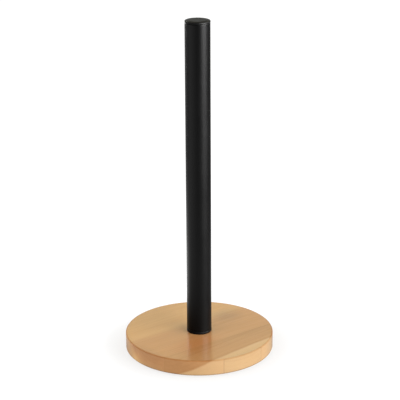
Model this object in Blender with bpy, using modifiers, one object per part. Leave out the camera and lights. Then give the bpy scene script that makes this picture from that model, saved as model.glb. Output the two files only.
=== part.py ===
"""Paper towel holder: a round base of edge-glued wood, a steel tube post with a plastic plug in each
end, the screw and nut that hold the post to the base, and four stick-on feet.

Metres, +Z up. The origin lies on the surface that the holder stands on, on the post's axis.
"""

import math

import bmesh
import bpy
from mathutils import Vector

# Driving dimensions
TOTAL_HEIGHT = 0.341
GAP = 0.0003  # clearance between faces that touch on the real holder
CUT_BEYOND = 0.002  # how far a cutter runs past the face that it opens

BASE_RADIUS = 0.075
BASE_THICKNESS = 0.016
BASE_EDGE = 0.0008  # radius of the sanded edge
BASE_SIDES = 96
STAVE_ANGLE = math.radians(37)  # direction of the grain and of the glue lines, from +X
GLUE_LINES = (-0.0712, -0.0314, 0.0300)  # distances of the glue lines from the post's axis

PAD_RADIUS = 0.006
PAD_THICKNESS = 0.0015
PAD_EDGE = 0.0005
PAD_CIRCLE = 0.060  # radius of the circle that the feet stand on
PAD_COUNT = 4

TUBE_RADIUS = 0.0125
TUBE_WALL = 0.0012
TUBE_CHAMFER = 0.0004

FLANGE_RADIUS = TUBE_RADIUS + 0.0001
CAP_FLANGE = 0.0022
CAP_FLAT_RADIUS = 0.0098  # flat middle of the cap's top face
CAP_EDGE_DROP = 0.0012  # height of the rounded edge around it
INSERT_FLANGE = 0.0025
INSERT_EDGE = 0.0003
PLUG_LENGTH = 0.016  # how far either plug reaches into the tube
PLUG_WALL = 0.0018
BARB_COUNT = 4
BARB_PITCH = 0.0035
BARB_HEIGHT = 0.0004

# Fasteners: M6 screw, nut, large flat washer and spring washer
THREAD_RADIUS = 0.0030
BORE_RADIUS = THREAD_RADIUS + GAP
WOOD_HOLE_RADIUS = 0.0035
COUNTERBORE_RADIUS = 0.010
COUNTERBORE_DEPTH = 0.008
SCREW_LENGTH = 0.025
HEAD_RADIUS = 0.00525
HEAD_HEIGHT = 0.0033
HEAD_RIM = 0.0008  # straight part of the button head's side
TIP_CHAMFER = 0.0006
SOCKET_FLATS = 0.004
SOCKET_DEPTH = 0.0021
NUT_FLATS = 0.010
NUT_HEIGHT = 0.0052
NUT_CHAMFER = 0.0006
POCKET_FLATS = NUT_FLATS + 2 * GAP
POCKET_FLOOR = 0.006  # thickness of plastic under the nut, flange included
FLAT_WASHER_RADIUS = 0.009
SPRING_WASHER_RADIUS = 0.0059
WASHER_THICKNESS = 0.0016
SPRING_SLOT = 0.0008
SPRING_SLOT_TILT = math.radians(35)

# Levels, from the surface up
BASE_BOTTOM = PAD_THICKNESS + GAP
BASE_TOP = BASE_BOTTOM + BASE_THICKNESS
INSERT_BOTTOM = BASE_TOP + GAP
TUBE_BOTTOM = INSERT_BOTTOM + INSERT_FLANGE + GAP
TUBE_TOP = TOTAL_HEIGHT - CAP_FLANGE - GAP
COUNTERBORE_TOP = BASE_BOTTOM + COUNTERBORE_DEPTH
FLAT_WASHER_BOTTOM = COUNTERBORE_TOP - GAP - WASHER_THICKNESS
SPRING_WASHER_BOTTOM = FLAT_WASHER_BOTTOM - GAP - WASHER_THICKNESS
HEAD_TOP = SPRING_WASHER_BOTTOM - GAP
NUT_BOTTOM = INSERT_BOTTOM + POCKET_FLOOR + GAP

PLUG_RADIUS = TUBE_RADIUS - TUBE_WALL - GAP - BARB_HEIGHT
HEX = 1 / math.cos(math.radians(30))  # corner radius of a hexagon over half its width across flats


def clear_scene():
    for existing in list(bpy.data.objects):
        bpy.data.objects.remove(existing)


def new_collection(name):
    made = bpy.data.collections.new(name)
    bpy.context.scene.collection.children.link(made)
    return made


def new_material(name, colour, roughness, metallic=0.0):
    made = bpy.data.materials.new(name)
    made.use_nodes = True
    shader = made.node_tree.nodes["Principled BSDF"]
    shader.inputs["Base Color"].default_value = (*colour, 1)
    shader.inputs["Roughness"].default_value = roughness
    shader.inputs["Metallic"].default_value = metallic
    made.diffuse_color = (*colour, 1)
    return made


def add_part(name, mesh, material):
    """A part of the holder, parented to the empty that carries the whole."""
    made = bpy.data.objects.new(name, mesh)
    if not mesh.materials:
        mesh.materials.append(material)
    parts.objects.link(made)
    made.parent = carrier
    return made


def add_cutter(name, mesh):
    made = bpy.data.objects.new(name, mesh)
    cutters.objects.link(made)
    made.hide_render = True
    made.display_type = "WIRE"
    return made


def boolean(target, cutter, operation="DIFFERENCE"):
    modifier = target.modifiers.new(cutter.name, "BOOLEAN")
    modifier.operation = operation
    modifier.object = cutter
    modifier.solver = "EXACT"


def mesh_of(shape, name):
    mesh = bpy.data.meshes.new(name)
    shape.to_mesh(mesh)
    shape.free()
    return mesh


def cylinder(name, radius, low, high, segments):
    """An upright prism or cylinder from one level to another."""
    shape = bmesh.new()
    bmesh.ops.create_cone(
        shape, cap_ends=True, segments=segments, radius1=radius, radius2=radius, depth=high - low
    )
    bmesh.ops.translate(shape, verts=shape.verts, vec=(0, 0, (low + high) / 2))
    return mesh_of(shape, name)


def box(name, size):
    shape = bmesh.new()
    bmesh.ops.create_cube(shape, size=1)
    bmesh.ops.scale(shape, verts=shape.verts, vec=size)
    return mesh_of(shape, name)


def profile(name, points, closed=False):
    """A half section of (radius, level) points, listed down the outer side, for a Screw modifier."""
    shape = bmesh.new()
    verts = [shape.verts.new((radius, 0, level)) for radius, level in points]
    for first, second in zip(verts, verts[1:] + verts[:1] if closed else verts[1:]):
        shape.edges.new((first, second))
    return mesh_of(shape, name)


def turn(target, steps):
    """Turns a half section once round the Z axis."""
    screw = target.modifiers.new("turn", "SCREW")
    screw.axis = "Z"
    screw.steps = screw.render_steps = steps
    screw.use_merge_vertices = True
    screw.merge_threshold = 0.00001
    return target


def quarter(centre, reach, start, steps):
    """Points of an elliptical quarter round, from the angle start, clockwise: down the outer side."""
    angles = [math.radians(start - 90 * step / steps) for step in range(steps + 1)]
    return [
        (centre[0] + reach[0] * math.cos(angle), centre[1] + reach[1] * math.sin(angle))
        for angle in angles
    ]


def barbs(first_level, radius):
    """The barbs that grip the tube, listed downwards: each has a flat top and a tapered underside."""
    points = []
    for number in range(BARB_COUNT):
        level = first_level - number * BARB_PITCH
        points += [
            (radius, level),
            (radius + BARB_HEIGHT, level),
            (radius + BARB_HEIGHT, level - BARB_HEIGHT),
            (radius, level - 3 * BARB_HEIGHT),
        ]
    return points


def upside_down(points):
    """The half section turned over about level 0, still listed down the outer side."""
    return [(radius, -level) for radius, level in reversed(points)]


def make_staves(materials):
    """The base disc, cut along the glue lines into its boards."""
    edges = (-2 * BASE_RADIUS, *GLUE_LINES, 2 * BASE_RADIUS)
    across = Vector((-math.sin(STAVE_ANGLE), math.cos(STAVE_ANGLE), 0))
    hole = add_cutter(
        "screw_hole_cutter",
        profile(
            "screw_hole",
            [
                (0, BASE_TOP + CUT_BEYOND),
                (WOOD_HOLE_RADIUS, BASE_TOP + CUT_BEYOND),
                (WOOD_HOLE_RADIUS, COUNTERBORE_TOP),
                (COUNTERBORE_RADIUS, COUNTERBORE_TOP),
                (COUNTERBORE_RADIUS, BASE_BOTTOM - CUT_BEYOND),
                (0, BASE_BOTTOM - CUT_BEYOND),
            ],
        ),
    )
    turn(hole, 48)
    for number, (low, high) in enumerate(zip(edges, edges[1:]), 1):
        disc = cylinder(f"base_stave_{number}", BASE_RADIUS, BASE_BOTTOM, BASE_TOP, BASE_SIDES)
        stave = add_part(f"base_stave_{number}", disc, materials[number - 1])
        eased = stave.modifiers.new("sanded_edge", "BEVEL")
        eased.width = BASE_EDGE
        eased.segments = 3
        eased.limit_method = "ANGLE"
        eased.angle_limit = math.radians(60)
        slab = add_cutter(
            f"stave_slab_{number}",
            box(f"stave_slab_{number}", (4 * BASE_RADIUS, high - low - GAP, 4 * BASE_THICKNESS)),
        )
        slab.location = across * (low + high) / 2 + Vector((0, 0, BASE_BOTTOM))
        slab.rotation_euler.z = STAVE_ANGLE
        boolean(stave, slab, "INTERSECT")
        if low < 0 < high:
            boolean(stave, hole)


def make_feet(material):
    mesh = profile(
        "foot_pad",
        [
            (0, PAD_THICKNESS),
            (PAD_RADIUS, PAD_THICKNESS),
            (PAD_RADIUS, PAD_EDGE),
            (PAD_RADIUS - PAD_EDGE, 0),
            (0, 0),
        ],
    )
    for number in range(1, PAD_COUNT + 1):
        angle = math.radians(360 * (number - 0.5) / PAD_COUNT)
        pad = turn(add_part(f"foot_pad_{number}", mesh, material), 32)
        pad.location = (PAD_CIRCLE * math.cos(angle), PAD_CIRCLE * math.sin(angle), 0)
        pad.rotation_euler.z = angle


def make_tube(material):
    inner = TUBE_RADIUS - TUBE_WALL
    points = [
        (inner, TUBE_TOP),
        (TUBE_RADIUS - TUBE_CHAMFER, TUBE_TOP),
        (TUBE_RADIUS, TUBE_TOP - TUBE_CHAMFER),
        (TUBE_RADIUS, TUBE_BOTTOM + TUBE_CHAMFER),
        (TUBE_RADIUS - TUBE_CHAMFER, TUBE_BOTTOM),
        (inner, TUBE_BOTTOM),
    ]
    turn(add_part("post_tube", profile("post_tube", points, closed=True), material), 64)


def make_top_cap(material):
    """A cup-shaped plug: a flange with a rounded edge, and a barbed skirt inside the tube."""
    seat = TOTAL_HEIGHT - CAP_FLANGE
    floor = seat - PLUG_WALL
    end = seat - PLUG_LENGTH
    centre = (CAP_FLAT_RADIUS, TOTAL_HEIGHT - CAP_EDGE_DROP)
    reach = (FLANGE_RADIUS - CAP_FLAT_RADIUS, CAP_EDGE_DROP)
    points = [
        (0, TOTAL_HEIGHT),
        *quarter(centre, reach, 90, 6),
        (FLANGE_RADIUS, seat),
        (PLUG_RADIUS, seat),
        *barbs(seat - BARB_HEIGHT, PLUG_RADIUS),
        (PLUG_RADIUS, end + BARB_HEIGHT),
        (PLUG_RADIUS - BARB_HEIGHT, end),
        (PLUG_RADIUS - PLUG_WALL, end),
        (PLUG_RADIUS - PLUG_WALL, floor),
        (0, floor),
    ]
    turn(add_part("top_cap", profile("top_cap", points), material), 40)


def make_bottom_insert(material):
    """A solid plug with a through bore and a hexagonal pocket that keeps the nut from turning."""
    seat = INSERT_BOTTOM + INSERT_FLANGE
    top = seat + PLUG_LENGTH
    points = [
        (BORE_RADIUS, top),
        (PLUG_RADIUS - BARB_HEIGHT, top),
        (PLUG_RADIUS, top - BARB_HEIGHT),
        *upside_down(barbs(-seat - BARB_HEIGHT, PLUG_RADIUS)),
        (PLUG_RADIUS, seat),
        (FLANGE_RADIUS - INSERT_EDGE, seat),
        (FLANGE_RADIUS, seat - INSERT_EDGE),
        (FLANGE_RADIUS, INSERT_BOTTOM),
        (BORE_RADIUS, INSERT_BOTTOM),
    ]
    insert = add_part("bottom_insert", profile("bottom_insert", points, closed=True), material)
    turn(insert, 40)
    floor = INSERT_BOTTOM + POCKET_FLOOR
    pocket = cylinder("nut_pocket", POCKET_FLATS / 2 * HEX, floor, top + CUT_BEYOND, 6)
    boolean(insert, add_cutter("nut_pocket_cutter", pocket))


def make_nut(material):
    """A turned ring with chamfered ends, cut to a hexagon."""
    corner = NUT_FLATS / 2 * HEX
    top = NUT_BOTTOM + NUT_HEIGHT
    rim = NUT_FLATS / 2
    points = [
        (BORE_RADIUS, top),
        (rim, top),
        (corner + GAP, top - NUT_CHAMFER),
        (corner + GAP, NUT_BOTTOM + NUT_CHAMFER),
        (rim, NUT_BOTTOM),
        (BORE_RADIUS, NUT_BOTTOM),
    ]
    nut = turn(add_part("insert_nut", profile("insert_nut", points, closed=True), material), 40)
    hexagon = cylinder("nut_hexagon", corner, NUT_BOTTOM - CUT_BEYOND, top + CUT_BEYOND, 6)
    boolean(nut, add_cutter("nut_hexagon_cutter", hexagon), "INTERSECT")


def make_screw(material):
    """A button-head screw pointing up, with a hexagon socket in its head."""
    tip = HEAD_TOP + SCREW_LENGTH
    head_bottom = HEAD_TOP - HEAD_HEIGHT
    crown = HEAD_HEIGHT - HEAD_RIM
    flat = SOCKET_FLATS / 2 * HEX + GAP
    centre = (flat, HEAD_TOP - HEAD_RIM)
    points = [
        (0, tip),
        (THREAD_RADIUS - TIP_CHAMFER, tip),
        (THREAD_RADIUS, tip - TIP_CHAMFER),
        (THREAD_RADIUS, HEAD_TOP),
        (HEAD_RADIUS, HEAD_TOP),
        *quarter(centre, (HEAD_RADIUS - flat, crown), 0, 5),
        (0, head_bottom),
    ]
    screw = turn(add_part("base_screw", profile("base_screw", points), material), 32)
    socket = cylinder(
        "socket", SOCKET_FLATS / 2 * HEX, head_bottom - CUT_BEYOND, head_bottom + SOCKET_DEPTH, 6
    )
    boolean(screw, add_cutter("socket_cutter", socket))


def make_washers(material):
    for name, radius, bottom in (
        ("flat_washer", FLAT_WASHER_RADIUS, FLAT_WASHER_BOTTOM),
        ("spring_washer", SPRING_WASHER_RADIUS, SPRING_WASHER_BOTTOM),
    ):
        top = bottom + WASHER_THICKNESS
        points = [(BORE_RADIUS, top), (radius, top), (radius, bottom), (BORE_RADIUS, bottom)]
        turn(add_part(name, profile(name, points, closed=True), material), 40)
    reach = 2 * SPRING_WASHER_RADIUS
    slot = add_cutter(
        "spring_slot_cutter", box("spring_slot", (reach, SPRING_SLOT, 4 * WASHER_THICKNESS))
    )
    slot.location = (reach / 2, 0, SPRING_WASHER_BOTTOM + WASHER_THICKNESS / 2)
    slot.rotation_euler.x = SPRING_SLOT_TILT
    boolean(bpy.data.objects["spring_washer"], slot)


def shade_parts():
    """Applies each part's modifiers, then shades it smooth except across its real edges."""
    bpy.context.view_layer.update()
    graph = bpy.context.evaluated_depsgraph_get()
    solids = [part for part in parts.objects if part.type == "MESH"]
    shapes = [bpy.data.meshes.new_from_object(part.evaluated_get(graph)) for part in solids]
    for part, shape in zip(solids, shapes):
        part.modifiers.clear()
        part.data = shape
        shape.name = part.name
        shape.shade_smooth()
        shape.set_sharp_from_angle(angle=math.radians(30))


clear_scene()
parts = new_collection("paper_towel_holder")
cutters = new_collection("cutters")
carrier = bpy.data.objects.new("holder_carrier", None)
parts.objects.link(carrier)

stave_materials = [
    new_material("wood_sapwood", (0.72, 0.47, 0.26), 0.45),
    new_material("wood_amber", (0.52, 0.33, 0.17), 0.45),
    new_material("wood_honey", (0.55, 0.35, 0.18), 0.45),
    new_material("wood_straw", (0.61, 0.41, 0.21), 0.45),
]
powder_coat = new_material("black_powder_coat", (0.012, 0.012, 0.013), 0.38)
plastic = new_material("black_plastic", (0.022, 0.022, 0.022), 0.42)
zinc = new_material("zinc_plated_steel", (0.60, 0.61, 0.63), 0.30, 1.0)
rubber = new_material("pad_rubber", (0.035, 0.035, 0.037), 0.80)

make_staves(stave_materials)
make_feet(rubber)
make_tube(powder_coat)
make_top_cap(plastic)
make_bottom_insert(plastic)
make_nut(zinc)
make_screw(zinc)
make_washers(zinc)
shade_parts()
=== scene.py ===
# %% [markdown]
# # Paper towel holder
# A round wooden base glued up from four boards, a black steel tube that the roll drops over, and the
# plugs, screw, nut, washers and feet that hold it together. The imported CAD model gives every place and
# size. This script models each piece again with round, smooth surfaces, and gives it a finish.

# %% Load the frame and keep its box
import math

import bmesh
import bpy
from mathutils import Matrix, Vector


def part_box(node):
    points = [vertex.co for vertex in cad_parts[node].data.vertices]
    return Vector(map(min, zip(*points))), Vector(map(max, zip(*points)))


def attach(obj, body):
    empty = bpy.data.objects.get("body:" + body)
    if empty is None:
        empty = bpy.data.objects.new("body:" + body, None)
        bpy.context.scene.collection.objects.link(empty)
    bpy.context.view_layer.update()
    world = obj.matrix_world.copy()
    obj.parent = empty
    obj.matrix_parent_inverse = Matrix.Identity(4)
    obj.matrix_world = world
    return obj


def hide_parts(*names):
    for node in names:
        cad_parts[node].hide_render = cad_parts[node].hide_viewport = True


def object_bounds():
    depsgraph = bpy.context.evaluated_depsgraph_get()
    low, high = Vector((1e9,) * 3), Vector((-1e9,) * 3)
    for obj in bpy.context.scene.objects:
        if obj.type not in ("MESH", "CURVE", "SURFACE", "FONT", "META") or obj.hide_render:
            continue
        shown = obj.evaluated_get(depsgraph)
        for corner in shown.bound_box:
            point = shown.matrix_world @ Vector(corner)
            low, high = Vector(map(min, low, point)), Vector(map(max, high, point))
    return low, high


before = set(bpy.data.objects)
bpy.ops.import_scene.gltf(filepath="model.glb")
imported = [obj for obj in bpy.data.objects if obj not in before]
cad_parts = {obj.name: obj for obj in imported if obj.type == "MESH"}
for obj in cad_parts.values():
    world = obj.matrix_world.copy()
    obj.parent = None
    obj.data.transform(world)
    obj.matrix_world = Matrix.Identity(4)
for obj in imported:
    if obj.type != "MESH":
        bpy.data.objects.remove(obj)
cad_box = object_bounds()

print("the CAD box runs from", [round(c, 4) for c in cad_box[0]], "to", [round(c, 4) for c in cad_box[1]])

# %% [markdown]
# ## Measures
# Every piece starts from the box of the CAD node that it stands for, so it goes exactly where the CAD
# says. The boards are cut at a slant, so their edges are measured along the direction across the grain.
# Operators tell apart points that are FINE from each other, and points closer than MERGE are made one.

# %% Directions of the grain, and the offsets of the board edges
GRAIN_TURN = math.radians(37)
ACROSS = Vector((-math.sin(GRAIN_TURN), math.cos(GRAIN_TURN), 0))
MM = 0.001
FINE, MERGE = 0.001 * MM, 0.002 * MM


def across_span(node):
    """Lowest and highest offset of a CAD node across the grain."""
    offsets = [ACROSS.dot(corner.co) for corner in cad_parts[node].data.vertices]
    return min(offsets), max(offsets)


BOARD_NODES = [f"base_stave_{number}" for number in (1, 2, 3, 4)]
board_spans = [across_span(node) for node in BOARD_NODES]
print("board edges, mm across the grain:", [[round(edge / MM, 1) for edge in span] for span in board_spans])

# %% Size of the base and of the post
base_bottom = min(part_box(node)[0].z for node in BOARD_NODES)
base_top = max(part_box(node)[1].z for node in BOARD_NODES)
base_radius = max(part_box(node)[1].x for node in BOARD_NODES)
tube_low, tube_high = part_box("post_tube")
cap_low, cap_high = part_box("top_cap")
insert_low, insert_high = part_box("bottom_insert")
thickness = base_top - base_bottom
print(f"base {2 * base_radius / MM:.1f} x {thickness / MM:.1f} mm, tube {2 * tube_high.x / MM:.1f} mm")

# %% [markdown]
# ## Working helpers
# An operator acts on everything that is selected, so each step first says what is selected. These small
# helpers pick one piece, pick its edges or faces by their place, and close the step again.

# %% Pick a piece and its faces
def pick(piece):
    """Makes one piece the only selected and active object."""
    bpy.ops.object.select_all(action="DESELECT")
    piece.select_set(True)
    bpy.context.view_layer.objects.active = piece


def mark(piece, part, test):
    """In edit mode, selects the faces, edges or vertices that pass a test."""
    bpy.ops.mesh.select_mode(type={"faces": "FACE", "edges": "EDGE", "verts": "VERT"}[part])
    bpy.ops.mesh.select_all(action="DESELECT")
    shape = bmesh.from_edit_mesh(piece.data)
    found = [item for item in getattr(shape, part) if test(item)]
    for item in found:
        item.select_set(True)
    shape.select_flush_mode()
    bmesh.update_edit_mesh(piece.data)
    return len(found)


def close_up(piece, smooth_angle=30):
    """Merges doubles, turns the faces outwards and shades the piece."""
    pick(piece)
    bpy.ops.object.mode_set(mode="EDIT")
    bpy.ops.mesh.select_all(action="SELECT")
    bpy.ops.mesh.remove_doubles(threshold=MERGE)
    bpy.ops.mesh.normals_make_consistent(inside=False)
    bpy.ops.object.mode_set(mode="OBJECT")
    bpy.ops.object.transform_apply(location=True, rotation=True, scale=True)
    bpy.ops.object.shade_smooth_by_angle(angle=math.radians(smooth_angle))
    return piece


def copy_of(piece, name):
    """A copy with its own mesh."""
    pick(piece)
    bpy.ops.object.duplicate(linked=False)
    made = bpy.context.object
    made.name = made.data.name = name
    return made


# %% Cut one piece with another
def cut(piece, tool, operation="DIFFERENCE"):
    """Applies a Boolean with a second piece, which is then thrown away."""
    pick(piece)
    step = piece.modifiers.new(operation.lower(), "BOOLEAN")
    step.operation, step.solver, step.object = operation, "EXACT", tool
    bpy.ops.object.modifier_apply(modifier=step.name)
    bpy.data.objects.remove(tool)


# %% [markdown]
# ## Turning round pieces
# Tubes, plugs, washers and feet are all round, and a lathe would turn them. In Blender the same is done
# by drawing half the section point by point, and spinning it once round the axis. Real edges are never
# quite sharp, so a section's corners are rounded first. A loop is kept close to each rounded corner, so
# that smooth shading stays in the corner and the flats stay flat.

# %% Round the corners of a section
LOOP_GAP = 0.4


def eased_section(points, closed=False, steps=4):
    """Turns (radius, level, easing) points into (radius, level) points with rounded corners."""
    made = []
    count = len(points)
    for index, (radius, level, easing) in enumerate(points):
        corner = Vector((radius, level))
        at_end = not closed and index in (0, count - 1)
        if at_end or easing <= 0:
            made.append(corner)
            continue
        before = Vector(points[index - 1][:2]) - corner
        after = Vector(points[(index + 1) % count][:2]) - corner
        half = before.angle(after) / 2
        before, after = before.normalized(), after.normalized()
        reach = easing / math.tan(half)
        start, end = corner + before * reach, corner + after * reach
        middle = corner + (before + after).normalized() * easing / math.sin(half)
        arm = start - middle
        turn = arm.angle_signed(end - middle)
        made.append(start + before * easing * LOOP_GAP)
        for step in range(steps + 1):
            angle = -turn * step / steps
            made.append(middle + Vector((
                arm.x * math.cos(angle) - arm.y * math.sin(angle),
                arm.x * math.sin(angle) + arm.y * math.cos(angle),
            )))
        made.append(end + after * easing * LOOP_GAP)
    return [(point.x, point.y) for point in made]


# %% Draw a chain of points
def drawn(name, start, strides):
    """A new piece, left in edit mode: a chain of points in the XZ plane, from its start and strides."""
    bpy.ops.object.select_all(action="DESELECT")
    bpy.ops.mesh.primitive_plane_add(size=MM, location=(0, 0, 0))
    piece = bpy.context.object
    piece.name = piece.data.name = name
    bpy.ops.object.mode_set(mode="EDIT")
    bpy.ops.mesh.select_mode(type="VERT")
    bpy.ops.mesh.select_all(action="SELECT")
    bpy.ops.mesh.merge(type="CENTER")
    bpy.ops.transform.translate(value=(start[0], 0, start[1]))
    for outwards, upwards in strides:
        bpy.ops.mesh.extrude_vertices_move(TRANSFORM_OT_translate={"value": (outwards, 0, upwards)})
    return piece


# %% Spin a section
def turned(name, section, steps, closed=False):
    """A round piece: a section spun once round the post's axis."""
    chain = section + section[:1] if closed else section
    strides = [(there[0] - here[0], there[1] - here[1]) for here, there in zip(chain, chain[1:])]
    piece = drawn(name, section[0], strides)
    bpy.ops.mesh.select_all(action="SELECT")
    bpy.ops.mesh.spin(steps=steps, angle=math.tau, center=(0, 0, 0), axis=(0, 0, 1))
    bpy.ops.object.mode_set(mode="OBJECT")
    close_up(piece)
    print(f"{name}: {len(piece.data.polygons)} faces")
    return piece


# %% Hand a finished piece over to the frame
def hand_over(piece, slot, *nodes):
    """Lets the piece ride on the holder and stand for its CAD nodes."""
    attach(piece, "root")
    if nodes:
        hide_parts(*nodes)


# %% [markdown]
# ## The base blank
# The real base is a disc sawn from a glued-up panel, with its edges sanded round. A cylinder primitive
# gives the disc. Bevelling both rims gives the sanded edge, an inset face and two extra loops keep the
# shading of the flats clean.

# %% Model the blank
RIM_STEPS, RIM_EASE, LOOP_INSET = 256, 0.9 * MM, 0.4 * MM
bpy.ops.object.select_all(action="DESELECT")
bpy.ops.mesh.primitive_cylinder_add(
    vertices=RIM_STEPS, radius=base_radius, depth=thickness, location=(0, 0, (base_bottom + base_top) / 2)
)
blank = bpy.context.object
blank.name = blank.data.name = "base_blank"
bpy.ops.object.transform_apply(location=True)
bpy.ops.object.mode_set(mode="EDIT")
rims = mark(blank, "edges", lambda edge: abs(edge.verts[0].co.z - edge.verts[1].co.z) < FINE)
bpy.ops.mesh.bevel(offset=RIM_EASE, segments=6, profile=0.5, affect="EDGES")
mark(blank, "faces", lambda face: abs(face.normal.z) > 0.999 and len(face.verts) > 4)
bpy.ops.mesh.inset(thickness=LOOP_INSET)
for level in (base_bottom + RIM_EASE + LOOP_INSET, base_top - RIM_EASE - LOOP_INSET):
    bpy.ops.mesh.select_all(action="SELECT")
    bpy.ops.mesh.bisect(plane_co=(0, 0, level), plane_no=(0, 0, 1))
bpy.ops.object.mode_set(mode="OBJECT")
print("rim edges eased:", rims, "- faces in the blank:", len(blank.data.polygons))

# %% [markdown]
# ## Four boards and three glue lines
# Each board is a copy of the blank, cut along two planes by the bisect operator, which also fills the cut.
# The CAD leaves 0.3 mm between the boards. In a real panel they meet at a thin film of glue. Each film is
# a piece of its own, cut from the same blank, so that the line shows on the top, the rim and the underside.

# %% Saw a slice out of the blank
GLUE_HALF, SKIN = 0.07 * MM, 0.01 * MM


def sawn(name, low, high):
    """A slice of the blank between two offsets across the grain."""
    piece = copy_of(blank, name)
    bpy.ops.object.mode_set(mode="EDIT")
    for offset, clear in ((low, "clear_inner"), (high, "clear_outer")):
        if abs(offset) < base_radius:
            bpy.ops.mesh.select_all(action="SELECT")
            bpy.ops.mesh.bisect(
                plane_co=ACROSS * offset, plane_no=ACROSS, threshold=SKIN, use_fill=True, **{clear: True}
            )
    bpy.ops.object.mode_set(mode="OBJECT")
    return piece


# %% Cut the boards
glue_offsets = [(left[1] + right[0]) / 2 for left, right in zip(board_spans, board_spans[1:])]
limits = [-2 * base_radius, *glue_offsets, 2 * base_radius]
boards = [
    sawn(f"board_{number}", low + GLUE_HALF, high - GLUE_HALF)
    for number, (low, high) in enumerate(zip(limits, limits[1:]), 1)
]
glue_films = [
    sawn(f"glue_line_{number}", offset - GLUE_HALF + SKIN, offset + GLUE_HALF - SKIN)
    for number, offset in enumerate(glue_offsets, 1)
]
print("glue lines at", [round(offset / MM, 2) for offset in glue_offsets], "mm")

# %% [markdown]
# ## The screw hole
# The screw comes up through a stepped hole: wide for the head and washers, narrow for the shank. A drill
# bit with that step is turned as a section and taken away from the third board with a Boolean.

# %% Drill the third board
screw_low, screw_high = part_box("base_screw")
washer_low, washer_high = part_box("flat_washer")
BEYOND, CLEARANCE, CHAMFER = 2 * MM, 0.3 * MM, 0.4 * MM
HOLE_RADIUS, RECESS_RADIUS = 3.5 * MM, 10 * MM
step_level = washer_high.z + CLEARANCE
bit = turned("step_drill", [
    (0, base_top + BEYOND), (HOLE_RADIUS, base_top + BEYOND), (HOLE_RADIUS, step_level),
    (RECESS_RADIUS, step_level), (RECESS_RADIUS, base_bottom + CHAMFER),
    (RECESS_RADIUS + CHAMFER, base_bottom), (RECESS_RADIUS + CHAMFER, base_bottom - BEYOND),
    (0, base_bottom - BEYOND),
], 96)
cut(boards[2], bit)
for piece in boards + glue_films:
    close_up(piece)
bpy.data.objects.remove(blank)
for piece, node in zip(boards, BOARD_NODES):
    print(piece.name, "has", len(piece.data.polygons), "faces and stands for", node)

# %% [markdown]
# ## The post
# The post is a thin-walled steel tube. Its ends are deburred and the powder rounds them a little more.
# The wall is drawn as a closed ring section, so the tube is hollow like the real one.

# %% Turn the tube
tube_radius = tube_high.x
WALL = 1.2 * MM
tube = turned("steel_tube", eased_section([
    (tube_radius - WALL, tube_high.z, 0.25 * MM),
    (tube_radius, tube_high.z, 0.5 * MM),
    (tube_radius, tube_low.z, 0.4 * MM),
    (tube_radius - WALL, tube_low.z, 0.25 * MM),
], closed=True), 160, closed=True)

# %% [markdown]
# ## The top plug
# A moulded plastic plug closes the tube. Its flange is flat in the middle, slopes a little outside that
# and ends in a rounded corner, and a barbed skirt grips the tube's inside. The slope and the corner catch
# the light, so their edges are eased in small steps, while the hidden barbs are plain.

# %% Section of a barbed skirt
PLUG_WALL = 1.8 * MM
BARB = 0.4 * MM
skirt_radius = tube_radius - WALL - CLEARANCE - BARB
print("skirt radius", round(skirt_radius / MM, 2), "mm")


def barb_points(first_level, pitch=3.5 * MM, count=4):
    """Barbs listed downwards: flat on top, tapered below."""
    points = []
    for number in range(count):
        level = first_level - number * pitch
        points += [
            (skirt_radius, level), (skirt_radius + BARB, level - 0.1 * MM),
            (skirt_radius + BARB, level - BARB), (skirt_radius, level - 3 * BARB),
        ]
    return points


# %% Turn the top plug
cap_radius = cap_high.x
FLANGE, FLAT_RADIUS, SHOULDER_DROP = 2.2 * MM, 9.0 * MM, 0.75 * MM
seat = cap_high.z - FLANGE
crown = eased_section([
    (0, cap_high.z, 0), (FLAT_RADIUS, cap_high.z, 1.5 * MM),
    (cap_radius, cap_high.z - SHOULDER_DROP, 0.8 * MM),
    (cap_radius, seat, 0.15 * MM), (skirt_radius, seat, 0),
])
cap = turned("top_plug", [
    *crown, *barb_points(seat - BARB),
    (skirt_radius, cap_low.z + BARB), (skirt_radius - BARB, cap_low.z),
    (skirt_radius - PLUG_WALL, cap_low.z), (skirt_radius - PLUG_WALL, seat - PLUG_WALL),
    (0, seat - PLUG_WALL),
], 128)

# %% [markdown]
# ## The foot plug
# A second plug closes the tube's foot and stands on the wood. It is solid, with a bore for the screw and a
# six-sided pocket that stops the nut from turning. The pocket is a six-sided prism taken away with a
# Boolean, after the round section is spun.

# %% Six-sided prism
HEX = 1 / math.cos(math.radians(30))


def hexagon(name, across_flats, low, high):
    """A six-sided prism between two levels."""
    bpy.ops.object.select_all(action="DESELECT")
    bpy.ops.mesh.primitive_cylinder_add(
        vertices=6, radius=across_flats / 2 * HEX, depth=high - low, location=(0, 0, (low + high) / 2)
    )
    piece = bpy.context.object
    piece.name = piece.data.name = name
    bpy.ops.object.transform_apply(location=True)
    return piece


# %% Turn the foot plug and sink its pocket
nut_low, nut_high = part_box("insert_nut")
flange_top = insert_low.z + 2.5 * MM
bore = 3.3 * MM
foot_plug = turned("foot_plug", [
    (bore, insert_high.z - 0.3 * MM), (bore + 0.3 * MM, insert_high.z),
    (skirt_radius - BARB, insert_high.z), (skirt_radius, insert_high.z - BARB),
    *[(radius, insert_high.z + flange_top - level)
      for radius, level in reversed(barb_points(insert_high.z - BARB))],
    (skirt_radius, flange_top), (insert_high.x - 0.12 * MM, flange_top),
    (insert_high.x - 0.03 * MM, flange_top - 0.03 * MM), (insert_high.x, flange_top - 0.12 * MM),
    (insert_high.x, flange_top - 0.3 * MM), (insert_high.x, insert_low.z + 0.3 * MM),
    (insert_high.x - 0.1 * MM, insert_low.z), (bore, insert_low.z),
], 96, closed=True)
pocket = hexagon("pocket", 2 * (nut_high.y + CLEARANCE), nut_low.z - CLEARANCE, insert_high.z + BEYOND)
cut(foot_plug, pocket)
close_up(foot_plug)
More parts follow.
